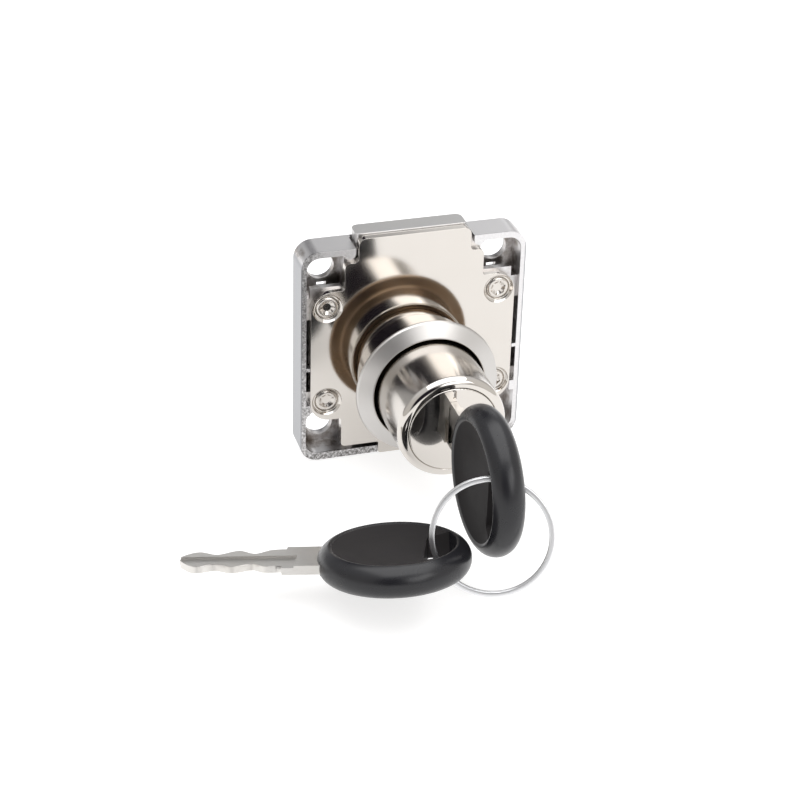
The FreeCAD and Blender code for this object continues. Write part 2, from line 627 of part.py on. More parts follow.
def build_keys():
    """The key in the plug, the split ring through its head, and the loose key on the ring."""
    blade = blade_shape()
    head = head_shape(blade)
    shoulder_y = -size("barrel_length") - size("plug_proud") - size("shoulder_gap")
    shoulder = FreeCAD.Vector(0, shoulder_y, size("key_rise"))
    in_lock = FreeCAD.Placement(shoulder, FreeCAD.Rotation())
    feature("key_1_blade", blade, in_lock)
    feature("key_1_head", head, in_lock)

    yaw, lean, roll = (math.radians(size(name)) for name in ("ring_yaw", "ring_lean", "ring_roll"))
    normal = FreeCAD.Vector(-math.sin(yaw) * math.cos(lean), -math.cos(yaw) * math.cos(lean),
                            math.sin(lean))
    level = FreeCAD.Vector(math.cos(yaw), -math.sin(yaw), 0)
    upward = normal.cross(level)
    if upward.z < 0:
        upward = -upward
    towards_key = upward * math.cos(roll) + level * math.sin(roll)
    sideways = normal.cross(towards_key)
    head_centre = -size("shank_length") - size("head_radius")
    held_at = shoulder + FreeCAD.Vector(0, head_centre - size("ring_reach"), size("ring_rise"))
    centre = held_at - towards_key * size("ring_radius")
    facing = FreeCAD.Rotation(towards_key, sideways, normal, "ZXY")
    feature("key_ring", ring_shape(), FreeCAD.Placement(centre, facing))

    heading, dip, tilt = (size(name) for name in ("loose_heading", "loose_dip", "loose_lean"))
    turn = (FreeCAD.Rotation(FreeCAD.Vector(0, 0, 1), heading)
            * FreeCAD.Rotation(FreeCAD.Vector(1, 0, 0), dip)
            * FreeCAD.Rotation(FreeCAD.Vector(0, 1, 0), tilt - 90))
    along = math.radians(size("loose_along"))
    outward = towards_key * math.cos(along) + sideways * math.sin(along)
    carried_at = centre + outward * size("ring_radius")
    hung_from = FreeCAD.Vector(0, head_centre - size("loose_reach"), size("loose_rise"))
    loose = carried_at - turn.multVec(hung_from)
    on_ring = FreeCAD.Placement(loose, turn)
    feature("key_2_blade", blade, on_ring)
    feature("key_2_head", head, on_ring)
    print("ring pivot", held_at, "wire direction", sideways, "ring centre", centre)
    print("loose key pivot", carried_at, "wire direction there",
          -towards_key * math.sin(along) + sideways * math.cos(along), "shoulder", loose)


build_case()
build_plate()
build_rivets()
build_trim_ring()
build_plug()
build_wafers()
build_crank()
build_bolt()
build_keys()
doc.recompute()

for item in doc.Objects:
    if "Invalid" in item.State or "Error" in item.State:
        raise RuntimeError(item.Name + " failed: " + str(item.State))
os.makedirs("parts", exist_ok=True)
for name, item in nodes.items():
    shape = item.Shape
    if shape.isNull() or not shape.isValid() or not shape.Solids:
        raise RuntimeError(name + " has no valid solid")
    shape.exportStep("parts/" + name + ".step")
    print(name, "solids", len(shape.Solids), "volume", round(shape.Volume, 2))
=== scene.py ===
"""Dresses a square drawer lock with its two keys: shapes, finishes, floor, lights and camera."""

import math

import bpy
from bpy.props import FloatProperty, FloatVectorProperty, IntProperty, PointerProperty
from bpy.types import Operator, Panel, PropertyGroup
from mathutils import Matrix, Vector


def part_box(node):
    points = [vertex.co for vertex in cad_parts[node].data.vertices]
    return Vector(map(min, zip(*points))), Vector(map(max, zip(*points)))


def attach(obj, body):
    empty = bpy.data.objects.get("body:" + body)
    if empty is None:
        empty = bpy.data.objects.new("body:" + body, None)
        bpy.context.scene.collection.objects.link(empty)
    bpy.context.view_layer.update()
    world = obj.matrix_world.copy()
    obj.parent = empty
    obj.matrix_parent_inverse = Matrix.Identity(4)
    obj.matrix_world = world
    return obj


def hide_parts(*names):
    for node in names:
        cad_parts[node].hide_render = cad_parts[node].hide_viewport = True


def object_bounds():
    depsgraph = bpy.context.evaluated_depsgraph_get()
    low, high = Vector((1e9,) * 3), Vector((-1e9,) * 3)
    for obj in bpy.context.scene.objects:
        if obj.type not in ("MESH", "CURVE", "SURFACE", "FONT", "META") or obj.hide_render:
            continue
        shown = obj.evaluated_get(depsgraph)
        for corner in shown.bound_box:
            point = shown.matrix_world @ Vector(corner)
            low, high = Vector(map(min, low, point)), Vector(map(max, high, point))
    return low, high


bl_info = {
    "name": "Drawer Lock",
    "version": (1, 0, 0),
    "blender": (4, 5, 0),
    "location": "3D View > Sidebar > Lock",
    "description": "Builds a square drawer lock, its trim ring and two keys on a split ring",
    "category": "Add Mesh",
}

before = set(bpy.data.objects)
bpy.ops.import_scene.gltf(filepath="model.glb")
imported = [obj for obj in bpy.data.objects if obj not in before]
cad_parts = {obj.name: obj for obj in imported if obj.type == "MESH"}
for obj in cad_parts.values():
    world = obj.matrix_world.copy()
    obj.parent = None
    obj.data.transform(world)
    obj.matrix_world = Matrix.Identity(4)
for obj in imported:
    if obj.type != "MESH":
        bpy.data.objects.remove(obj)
CAD_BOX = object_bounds()
MM = 0.001


def mm(*values):
    """A point in millimetres as a vector in metres."""
    return Vector(values) * MM


def node_box(name):
    """The low and high corner of a CAD node's box, in millimetres."""
    low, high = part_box(name)
    return low / MM, high / MM


# read off the CAD nodes: the case in metres for its shader, the rest in millimetres
CASE_LOW, CASE_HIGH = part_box("case")
PLATE_LOW, PLATE_HIGH = node_box("barrel_plate")
TRIM_LOW, TRIM_HIGH = node_box("trim_ring")
RIVET_FACE = node_box("rivets")[0].y
WAFER_SLACK = 0.2
WAFER_END = 0.5
GROOVE_HALF = WAFER_SLACK - node_box("wafer_1")[0].x
GROOVE_SPAN = (node_box("wafer_1")[0].y - WAFER_END, node_box("wafer_5")[1].y + WAFER_END)


def length(name, words, default):
    """A length property, its default given in millimetres."""
    return FloatProperty(name=name, description=words, default=default * MM, unit="LENGTH",
                         precision=5)


def colour(name, words, default):
    """A colour property."""
    return FloatVectorProperty(name=name, description=words, default=default, size=3,
                               subtype="COLOR", min=0, max=1)


class LockSizes(PropertyGroup):
    """Sizes of the lock that a user would change."""
    barrel_radius: length("Barrel radius", "Outside radius of the barrel", 9.4)
    lip_round: length("Barrel lip", "Rounding of the barrel's front edge", 1.3)
    plate_edge: length("Plate edge", "Rounding of the plate's polished edges", 0.28)
    casting_edge: length("Casting edge", "Rounding of the case's edges", 0.22)
    plug_radius: length("Plug face", "Radius of the plug's visible face", 7.66)
    rivet_radius: length("Rivet head", "Radius of a staked rivet head", 1.95)
    steps: IntProperty(name="Turned steps", description="Faces round a turned piece", default=144,
                       min=24, max=256)


class KeySizes(PropertyGroup):
    """Sizes of the keys and the split ring."""
    head_radius: length("Head radius", "Radius of the moulded key head", 12.35)
    head_thickness: length("Head thickness", "Thickness of the head at its rim", 5.35)
    rim_width: length("Rim width", "Width of the head's bulging rim", 1.9)
    web_thickness: length("Web thickness", "Thickness of the head inside its rim", 3.3)
    ring_radius: length("Ring radius", "Mean radius of the split ring", 9.43)
    wire_width: length("Wire width", "Width of the split ring's flattened wire", 0.9)
    wire_thickness: length("Wire thickness", "Thickness of the split ring's flattened wire", 0.48)


class LockFinishes(PropertyGroup):
    """Colours of the finishes."""
    plating: colour("Plating", "Polished nickel plating", (0.605, 0.575, 0.54))
    satin: colour("Satin face", "Satin front face of the trim ring", (0.54, 0.525, 0.51))
    # painted shade: dark brown for the shaded back of the trim ring and its opening
    wear_and_shade: colour("Shade-painted plating", "Nickel painted dark brown as shade on the trim ring's back", (0.26, 0.18, 0.115))
    wire: colour("Wire", "Bright steel of the split ring", (0.76, 0.765, 0.775))
    casting: colour("Casting", "Plating over the rough casting", (0.72, 0.71, 0.715))
    bolt: colour("Bolt", "Tumbled finish of the bolt", (0.58, 0.575, 0.57))
    blade: colour("Blade", "Plated steel of the key blades", (0.66, 0.645, 0.62))
    plastic: colour("Plastic", "Moulded key head", (0.009, 0.009, 0.011))
    plastic_face: colour("Plastic face", "Satin face inside the head's rim",
                         (0.028, 0.026, 0.026))
    brass: colour("Brass", "Wafers inside the plug", (0.69, 0.53, 0.27))


def sizes():
    return bpy.context.scene.lock_sizes


def keys():
    return bpy.context.scene.key_sizes


def finishes():
    return bpy.context.scene.lock_finishes


# Modelling by hand

def start_over():
    """Leaves edit mode and lets go of everything."""
    if bpy.context.object and bpy.context.object.mode != "OBJECT":
        bpy.ops.object.mode_set(mode="OBJECT")
    bpy.ops.object.select_all(action="DESELECT")


def hold(piece):
    """Selects one piece alone."""
    start_over()
    piece.select_set(True)
    bpy.context.view_layer.objects.active = piece


def draw_line(name, points, closed=False):
    """Draws a line of points in millimetres, vertex by vertex, and closes it if asked."""
    start_over()
    first = mm(*points[0])
    bpy.ops.mesh.primitive_plane_add(size=MM, location=first)
    piece = bpy.context.object
    piece.name = name
    bpy.ops.object.mode_set(mode="EDIT")
    bpy.ops.mesh.select_all(action="SELECT")
    bpy.ops.mesh.merge(type="CENTER")
    for before, after in zip(points, points[1:]):
        step = mm(*after) - mm(*before)
        bpy.ops.mesh.extrude_region_move(TRANSFORM_OT_translate={"value": step})
    if closed:
        bpy.ops.object.mode_set(mode="OBJECT")
        last = len(piece.data.vertices) - 1
        for vertex in piece.data.vertices:
            vertex.select = vertex.index in (0, last)
        bpy.ops.object.mode_set(mode="EDIT")
        bpy.ops.mesh.edge_face_add()
    bpy.ops.object.mode_set(mode="OBJECT")
    bpy.ops.object.transform_apply(location=True, rotation=True, scale=True)
    return piece


def turn_profile(name, profile, axis=(0, 1, 0), steps=None):
    """Spins a profile right round an axis through the origin."""
    piece = draw_line(name, profile)
    bpy.ops.object.mode_set(mode="EDIT")
    bpy.ops.mesh.select_all(action="SELECT")
    bpy.ops.mesh.spin(steps=steps or sizes().steps, angle=2 * math.pi, center=(0, 0, 0), axis=axis)
    bpy.ops.mesh.select_all(action="SELECT")
    bpy.ops.mesh.remove_doubles(threshold=0.002 * MM)
    bpy.ops.mesh.normals_make_consistent(inside=False)
    bpy.ops.object.mode_set(mode="OBJECT")
    return piece


def extrude_outline(name, outline, depth):
    """Fills a closed outline and extrudes it by a step in millimetres."""
    piece = draw_line(name, outline, closed=True)
    bpy.ops.object.mode_set(mode="EDIT")
    bpy.ops.mesh.select_all(action="SELECT")
    bpy.ops.mesh.edge_face_add()
    bpy.ops.mesh.select_all(action="SELECT")
    bpy.ops.mesh.extrude_region_move(TRANSFORM_OT_translate={"value": mm(*depth)})
    bpy.ops.mesh.select_all(action="SELECT")
    bpy.ops.mesh.normals_make_consistent(inside=False)
    bpy.ops.object.mode_set(mode="OBJECT")
    return piece


def copy_of_node(node, name):
    """A merged copy of a CAD node, with its flat faces joined up."""
    start_over()
    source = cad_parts[node]
    piece = bpy.data.objects.new(name, source.data.copy())
    bpy.context.scene.collection.objects.link(piece)
    hold(piece)
    bpy.ops.object.mode_set(mode="EDIT")
    bpy.ops.mesh.select_all(action="SELECT")
    bpy.ops.mesh.remove_doubles(threshold=0.001 * MM)
    bpy.ops.mesh.dissolve_limited(angle_limit=math.radians(0.5))
    bpy.ops.object.mode_set(mode="OBJECT")
    return piece


def apply(piece, modifier):
    """Applies a modifier."""
    hold(piece)
    bpy.ops.object.modifier_apply(modifier=modifier.name)


def boolean(piece, tool, how):
    """Cuts a tool out of a piece or joins it on, and throws the tool away."""
    cut = piece.modifiers.new("Cut", "BOOLEAN")
    cut.object = tool
    cut.operation = how
    cut.solver = "EXACT"
    apply(piece, cut)
    bpy.data.objects.remove(tool, do_unlink=True)


def soften(piece, width, segments=3, angle=30):
    """Rounds the edges that turn by more than an angle."""
    edge = piece.modifiers.new("Edge", "BEVEL")
    edge.limit_method = "ANGLE"
    edge.angle_limit = math.radians(angle)
    edge.width = width
    edge.segments = segments
    edge.use_clamp_overlap = True
    apply(piece, edge)


def smooth(piece, angle=35):
    """Smooths edges up to an angle and keeps the flat faces truly flat."""
    hold(piece)
    bpy.ops.object.shade_smooth_by_angle(angle=math.radians(angle))
    flat = piece.modifiers.new("Flat", "WEIGHTED_NORMAL")
    flat.keep_sharp = True
    flat.weight = 100
    apply(piece, flat)


def block(name, low, high):
    """A box between two corners in millimetres."""
    start_over()
    centre = (Vector(low) + Vector(high)) / 2
    bpy.ops.mesh.primitive_cube_add(size=1, location=mm(*centre))
    tool = bpy.context.object
    tool.name = name
    tool.scale = mm(*(Vector(high) - Vector(low)))
    bpy.ops.object.transform_apply(location=True, rotation=True, scale=True)
    return tool


def arc(centre, radius, start, end, count):
    """Points along an arc in a plane, angles in degrees."""
    points = []
    for n in range(count + 1):
        angle = math.radians(start + (end - start) * n / count)
        points.append((centre[0] + radius * math.cos(angle), centre[1] + radius * math.sin(angle)))
    return points


def finish_piece(piece, material, body, *nodes, slot):
    """Gives a piece its material and body, and hides the nodes it stands for. The slot is not
    used.
    """
    piece.data.materials.clear()
    piece.data.materials.append(material)
    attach(piece, body)
    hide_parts(*nodes)


def paint(piece, material, chosen):
    """Gives a second material to the faces whose centre, in millimetres, is chosen."""
    piece.data.materials.append(material)
    number = len(piece.data.materials) - 1
    for face in piece.data.polygons:
        if chosen(face.center / MM):
            face.material_index = number


# Shader groups shared by the finishes

def new_group(name, rgb, roughness, **amounts):
    """A group from colour, roughness and amounts to colour, roughness and height."""
    group = bpy.data.node_groups.new(name, "ShaderNodeTree")
    made = group.interface.new_socket("Colour", in_out="INPUT", socket_type="NodeSocketColor")
    made.default_value = (*rgb, 1)
    for socket, amount in {"Roughness": roughness, **amounts}.items():
        made = group.interface.new_socket(socket, in_out="INPUT", socket_type="NodeSocketFloat")
        made.default_value = amount
    for socket, kind in (("Colour", "NodeSocketColor"), ("Roughness", "NodeSocketFloat"),
                         ("Height", "NodeSocketFloat")):
        group.interface.new_socket(socket, in_out="OUTPUT", socket_type=kind)
    return group, group.nodes.new("NodeGroupInput"), group.nodes.new("NodeGroupOutput")


def link(tree, source, target):
    tree.links.new(source, target)


def math_node(tree, how, first, second):
    """A calculation on two sockets or numbers."""
    node = tree.nodes.new("ShaderNodeMath")
    node.operation = how
    for socket, value in zip(node.inputs, (first, second)):
        if isinstance(value, (int, float)):
            socket.default_value = value
        else:
            link(tree, value, socket)
    return node.outputs[0]


def noise(tree, vector, scale, detail=4.0, roughness=0.5):
    """Noise, its scale counted per metre."""
    node = tree.nodes.new("ShaderNodeTexNoise")
    node.inputs["Detail"].default_value = detail
    node.inputs["Roughness"].default_value = roughness
    node.inputs["Scale"].default_value = scale
    link(tree, vector, node.inputs["Vector"])
    return node.outputs["Fac"]


def blend(tree, share, base, rgb):
    """Blends a fixed colour over a colour socket by a share."""
    node = tree.nodes.new("ShaderNodeMix")
    node.data_type = "RGBA"
    node.inputs["B"].default_value = (*rgb, 1)
    link(tree, share, node.inputs["Factor"])
    link(tree, base, node.inputs["A"])
    return node.outputs["Result"]


def ramp(tree, value, low, high, low_value=0.0, high_value=1.0):
    """A clamped straight line between two values."""
    node = tree.nodes.new("ShaderNodeMapRange")
    node.inputs["From Min"].default_value = low
    node.inputs["From Max"].default_value = high
    node.inputs["To Min"].default_value = low_value
    node.inputs["To Max"].default_value = high_value
    link(tree, value, node.inputs["Value"])
    return node.outputs["Result"]


TARNISH = (0.42, 0.36, 0.30)
RUBBED_PLASTIC = (0.035, 0.034, 0.038)


def plating_group():
    """Plating: faint clouding of colour and gloss, and a very shallow waviness."""
    group, given, made = new_group("Plating wear", (0.8, 0.8, 0.8), 0.08, Clouding=0.05, Grain=0.1)
    place = group.nodes.new("ShaderNodeTexCoord").outputs["Object"]
    clouds = noise(group, place, 160.0, detail=5.0)
    fine = noise(group, place, 5200.0, detail=3.0, roughness=0.6)
    waves = noise(group, place, 75.0, detail=1.0)
    stain = ramp(group, clouds, 0.35, 0.75)
    shade = math_node(group, "MULTIPLY", stain, given.outputs["Clouding"])
    tarnished = blend(group, shade, given.outputs["Colour"], TARNISH)
    link(group, tarnished, made.inputs["Colour"])
    rough = math_node(group, "MULTIPLY", clouds, given.outputs["Clouding"])
    rougher = math_node(group, "ADD", given.outputs["Roughness"], rough)
    link(group, rougher, made.inputs["Roughness"])
    grain = math_node(group, "MULTIPLY", fine, given.outputs["Grain"])
    link(group, math_node(group, "ADD", waves, grain), made.inputs["Height"])
    return group


# where the casting's looks fade in, each from the first place to the second
WORN_RIM = (0.55 * MM, 0.15 * MM)
WORN_LEFT = (-15.5 * MM, -18.5 * MM)
WORN_BOTTOM = (-14.5 * MM, -16.5 * MM)
# the outer sides and the back fade into painted grey shade
SHADED_SIDE = (CASE_HIGH.x - 0.3 * MM, CASE_HIGH.x - 0.1 * MM)
SHADED_BACK = (CASE_HIGH.y - 0.4 * MM, CASE_HIGH.y - 0.2 * MM)
TOP_FACE = (CASE_HIGH.z - 1.0 * MM, CASE_HIGH.z - 0.6 * MM)
BOTTOM_FACE = (CASE_LOW.z + 1.0 * MM, CASE_LOW.z + 0.6 * MM)
TRAY_INSIDE = (0.8 * MM, 2.0 * MM)
SPECKLES = (0.06, 0.055, 0.05)
# painted shade: grey on the case's outer sides and back
OUTER_SHADE_GREY = (0.31, 0.315, 0.33)
# painted shade: brown deeper inside the tray
TRAY_SHADE_BROWN = (0.2, 0.165, 0.135)


def casting_group():
    """Rough casting under thin plating: a speckled rim, painted grey shade on the outer faces and
    painted brown shade in blotches inside.
    """
    group, given, made = new_group("Casting skin", (0.6, 0.6, 0.6), 0.3, Speckle=0.5)
    place = group.nodes.new("ShaderNodeTexCoord").outputs["Object"]
    parts = group.nodes.new("ShaderNodeSeparateXYZ")
    link(group, place, parts.inputs["Vector"])
    right, behind, above = (parts.outputs[name] for name in ("X", "Y", "Z"))

    rim = ramp(group, behind, *WORN_RIM)
    left = ramp(group, right, *WORN_LEFT, low_value=0.12, high_value=0.8)
    bottom = ramp(group, above, *WORN_BOTTOM)
    wear_and_shade = math_node(group, "MULTIPLY", rim, math_node(group, "MAXIMUM", left, bottom))
    coarse = noise(group, place, 2100.0, detail=6.0, roughness=0.75)
    fine = noise(group, place, 5200.0, roughness=0.7)
    pits = math_node(group, "MULTIPLY", ramp(group, coarse, 0.38, 0.56), wear_and_shade)
    speckle = math_node(group, "MULTIPLY", pits, given.outputs["Speckle"])
    speckled = blend(group, speckle, given.outputs["Colour"], SPECKLES)

    # painted shade: the outer sides and the back turn grey
    reach = math_node(group, "ABSOLUTE", right, 0.0)
    side = ramp(group, reach, *SHADED_SIDE)
    back = ramp(group, behind, *SHADED_BACK)
    outer_shade = math_node(group, "MAXIMUM", side, back)
    outer_shaded = blend(group, outer_shade, speckled, OUTER_SHADE_GREY)

    top_face = ramp(group, above, *TOP_FACE)
    bottom_face = ramp(group, above, *BOTTOM_FACE)
    outside = math_node(group, "MAXIMUM", outer_shade, math_node(group, "MAXIMUM", top_face, bottom_face))
    # painted shade: deeper inside the tray, away from the outer faces, brown in uneven blotches
    deep = math_node(group, "SUBTRACT", ramp(group, behind, *TRAY_INSIDE), outside)
    uneven = noise(group, place, 420.0, roughness=0.65)
    blotches = ramp(group, uneven, 0.42, 0.6, low_value=0.15, high_value=0.75)
    tray_shade = math_node(group, "MULTIPLY", deep, blotches)
    link(group, blend(group, tray_shade, outer_shaded, TRAY_SHADE_BROWN), made.inputs["Colour"])

    spread = math_node(group, "MULTIPLY", fine, 0.16)
    rougher = math_node(group, "ADD", given.outputs["Roughness"], spread)
    link(group, rougher, made.inputs["Roughness"])
    rough_rim = math_node(group, "MULTIPLY", rim, coarse)
    skin = math_node(group, "MULTIPLY", fine, 0.35)
    link(group, math_node(group, "ADD", skin, rough_rim), made.inputs["Height"])
    return group


def moulding_group():
    """Moulded plastic: faint clouding of colour and gloss, with fine handling marks."""
    group, given, made = new_group("Moulded skin", (0.02, 0.02, 0.02), 0.25, Grain=0.2)
    place = group.nodes.new("ShaderNodeTexCoord").outputs["Object"]
    fine = noise(group, place, 4200.0, detail=3.0, roughness=0.6)
    clouds = noise(group, place, 260.0)
    shade = math_node(group, "MULTIPLY", clouds, 0.25)
    clouded = blend(group, shade, given.outputs["Colour"], RUBBED_PLASTIC)
    link(group, clouded, made.inputs["Colour"])
    spread = math_node(group, "MULTIPLY", clouds, 0.12)
    rougher = math_node(group, "ADD", given.outputs["Roughness"], spread)
    link(group, rougher, made.inputs["Roughness"])
    link(group, math_node(group, "MULTIPLY", fine, given.outputs["Grain"]), made.inputs["Height"])
    return group


GROUPS = {}
BUMP_HEIGHT = 0.1 * MM


def group_named(name):
    """A shared group, made the first time that a finish asks for it."""
    makers = {"plating": plating_group, "casting": casting_group, "moulding": moulding_group}
    if name not in GROUPS:
        GROUPS[name] = makers[name]()
    return GROUPS[name]


def finish_material(name, group, rgb, roughness, bump, metallic=1.0, **values):
    """A material whose colour, roughness and bump come from one of the shared groups."""
    material = bpy.data.materials.new(name)
    material.use_nodes = True
    tree = material.node_tree
    shader = tree.nodes["Principled BSDF"]
    shader.inputs["Metallic"].default_value = metallic
    skin = tree.nodes.new("ShaderNodeGroup")
    skin.node_tree = group_named(group)
    skin.inputs["Colour"].default_value = (*rgb, 1)
    skin.inputs["Roughness"].default_value = roughness
    for socket, value in values.items():
        skin.inputs[socket].default_value = value
    link(tree, skin.outputs["Colour"], shader.inputs["Base Color"])
    link(tree, skin.outputs["Roughness"], shader.inputs["Roughness"])
    relief = tree.nodes.new("ShaderNodeBump")
    relief.inputs["Strength"].default_value = bump
    relief.inputs["Distance"].default_value = BUMP_HEIGHT
    link(tree, skin.outputs["Height"], relief.inputs["Height"])
    link(tree, relief.outputs["Normal"], shader.inputs["Normal"])
    return material


# the metal finishes: property of their colour, roughness, bump, clouding and grain
PLATINGS = {
    "polished plating": ("plating", 0.065, 0.12, 0.05, 0.12),
    "barrel plating": ("plating", 0.12, 0.1, 0.06, 0.15),
    "lip plating": ("plating", 0.04, 0.06, 0.03, 0.05),
    "rivet plating": ("plating", 0.19, 0.2, 0.12, 0.25),
    "bright wire": ("wire", 0.32, 0.1, 0.03, 0.1),
    "satin plating": ("satin", 0.34, 0.1, 0.05, 0.3),
    # the next finish is dark brown painted shade for the trim ring's back and opening
    "shade-painted plating": ("wear_and_shade", 0.2, 0.15, 0.25, 0.2),
    "tumbled bolt": ("bolt", 0.3, 0.25, 0.12, 0.5),
    "key blade plating": ("blade", 0.21, 0.35, 0.22, 0.5),
    "wafer brass": ("brass", 0.3, 0.2, 0.2, 0.4),
}


def plating(name):
    """One of the metal finishes."""
    tone, roughness, bump, clouding, grain = PLATINGS[name]
    return finish_material(name, "plating", getattr(finishes(), tone), roughness, bump,
                           Clouding=clouding, Grain=grain)


def cast_plating():
    """The plated casting of the case."""
    return finish_material("plated casting", "casting", finishes().casting, roughness=0.24,
                           bump=0.35, Speckle=0.9)


def moulded_plastic(name, rgb, roughness, index):
    """The keys' plastic; the index sets how much it mirrors."""
    material = finish_material(name, "moulding", rgb, roughness, bump=0.05, metallic=0.0,
                               Grain=0.2)
    material.node_tree.nodes["Principled BSDF"].inputs["IOR"].default_value = index
    return material


# Case, plate and barrel

class LOCK_OT_case(Operator):
    """Softens the die-cast tray"""
    bl_idname = "drawer_lock.case"
    bl_label = "Case"

    def execute(self, context):
        piece = copy_of_node("case", "case_tray")
        soften(piece, sizes().casting_edge, segments=3, angle=40)
        smooth(piece, angle=40)
        finish_piece(piece, cast_plating(), "housing", "case", slot="case_metal")
        return {"FINISHED"}


PLATE_THICKNESS = 1.5
EAR_HALF, EAR_TOP, EAR_BOTTOM = PLATE_HIGH.x, 15.45, -9.6
TAB_HALF, TAB_TOP = 9.95, PLATE_HIGH.z
NECK_HALF, NECK_TOP = 12.35, 20.5
APRON_HALF, APRON_BOTTOM = 12.65, -15.4
FOOT_HALF, FOOT_BOTTOM = 5.8, PLATE_LOW.z
RIVETS = [(x, z) for x in (-15.3, 15.3) for z in (-5.85, 12.4)]


def rounded(corners, segments=6):
    """An outline in X and Z whose corners are rounded, each corner given with its radius."""
    outline = []
    count = len(corners)
    for n, (x, z, radius) in enumerate(corners):
        here = Vector((x, z))
        before = (Vector(corners[n - 1][:2]) - here).normalized()
        after = (Vector(corners[(n + 1) % count][:2]) - here).normalized()
        half = before.angle(after) / 2
        centre = here + (before + after).normalized() * radius / math.sin(half)
        first = here + before * radius / math.tan(half) - centre
        last = here + after * radius / math.tan(half) - centre
        sweep = first.angle_signed(last)
        for step in range(segments + 1):
            turned = Matrix.Rotation(-sweep * step / segments, 2) @ first
            outline.append((centre.x + turned.x, 0, centre.y + turned.y))
    return outline


def plate_outline():
    """The plate: foot, apron, ears, neck and tab, one half and its mirror image."""
    half = [(FOOT_HALF, FOOT_BOTTOM, 0.5), (FOOT_HALF, APRON_BOTTOM, 0.3),
            (APRON_HALF, APRON_BOTTOM, 0.8), (APRON_HALF, EAR_BOTTOM, 0.4),
            (EAR_HALF, EAR_BOTTOM, 3.6), (EAR_HALF, EAR_TOP, 3.6),
            (NECK_HALF, EAR_TOP, 0.5), (NECK_HALF, NECK_TOP, 1.0),
            (TAB_HALF, NECK_TOP, 0.7), (TAB_HALF, TAB_TOP, 1.3)]
    return rounded(half + [(-x, z, radius) for x, z, radius in half[::-1]])


def seat_tool(x, z):
    """The stepped counterbore round a rivet, with a raised ring in it."""
    profile = ((0, -0.3), (2.85, -0.3), (2.62, 0.12), (2.3, 0.42), (2.15, 0.36), (1.98, 0.62),
               (0, 0.62))
    tool = turn_profile("seat_tool", [(x, y, 0) for x, y in profile], steps=48)
    tool.location = mm(x, 0, z)
    hold(tool)
    bpy.ops.object.transform_apply(location=True)
    return tool


class LOCK_OT_plate(Operator):
    """Builds the polished cover plate with its counterbores"""
    bl_idname = "drawer_lock.plate"
    bl_label = "Cover plate"

    def execute(self, context):
        plate = extrude_outline("cover_plate", plate_outline(), (0, PLATE_THICKNESS, 0))
        for x, z in RIVETS:
            boolean(plate, seat_tool(x, z), "DIFFERENCE")
        soften(plate, sizes().plate_edge, segments=4, angle=40)
        smooth(plate, angle=30)
        finish_piece(plate, plating("polished plating"), "housing", "barrel_plate",
                     slot="plate_chrome")
        return {"FINISHED"}


BARREL_ROWS = (0.0, -8.0, -16.0)
BARREL_ROOT_TAPER = 0.3
PLUG_BORE = 6.46
CRANK_WELL, CRANK_WELL_FRONT = 7.6, 0.1
FLANGE_WELL_DEPTH = 2.2
FLANGE_GAP = 0.06
BORE_EDGE = 0.12
GROOVE_REACH = (3.0, 7.6)
LIP_SHADE_EDGE = 0.15


class LOCK_OT_barrel(Operator):
    """Builds the barrel with its rounded lip and wafer grooves"""
    bl_idname = "drawer_lock.barrel"
    bl_label = "Barrel"

    def execute(self, context):
        radius = sizes().barrel_radius / MM
        lip = sizes().lip_round / MM
        front = PLATE_LOW.y
        bore = sizes().plug_radius / MM + FLANGE_GAP
        well = front + FLANGE_WELL_DEPTH
        profile = [(radius - BARREL_ROOT_TAPER, PLATE_THICKNESS)]
        profile += [(radius, y) for y in BARREL_ROWS]
        profile += arc((radius - lip, front + lip), lip, 0, -80, 14)
        profile += [(bore + BORE_EDGE, front), (bore, front + BORE_EDGE), (bore, well)]
        profile += [(PLUG_BORE, well), (PLUG_BORE, -0.9), (PLUG_BORE, CRANK_WELL_FRONT)]
        profile += [(CRANK_WELL, CRANK_WELL_FRONT), (CRANK_WELL, PLATE_THICKNESS), profile[0]]
        piece = turn_profile("barrel", [(x, y, 0) for x, y in profile])
        first, last = GROOVE_SPAN
        near, far = GROOVE_REACH
        for name, low, high in (("groove_up", near, far), ("groove_down", -far, -near)):
            groove = block(name, (-GROOVE_HALF, first, low), (GROOVE_HALF, last, high))
            boolean(piece, groove, "DIFFERENCE")
        smooth(piece, angle=40)
        finish_piece(piece, plating("barrel plating"), "housing", "barrel_plate",
                     slot="plate_chrome")
        paint(piece, plating("lip plating"), lambda spot: spot.y < front + lip - LIP_SHADE_EDGE)
        return {"FINISHED"}


STAKE_HALF = 0.2
STAKE_DEPTH = 0.36
# a rivet's staked face, as shares of its radius and depths, and the shank behind it
RIVET_DISH = ((0, 0.5), (0.3, 0.48), (0.5, 0.3), (0.66, 0.04), (0.78, 0), (0.92, 0.08), (1, 0.24))
RIVET_SHANK = ((1.2, 0.75), (1.2, 3.5), (0, 3.5))
STAKE_SHARE = 0.7
RIVET_TURN = 0.4


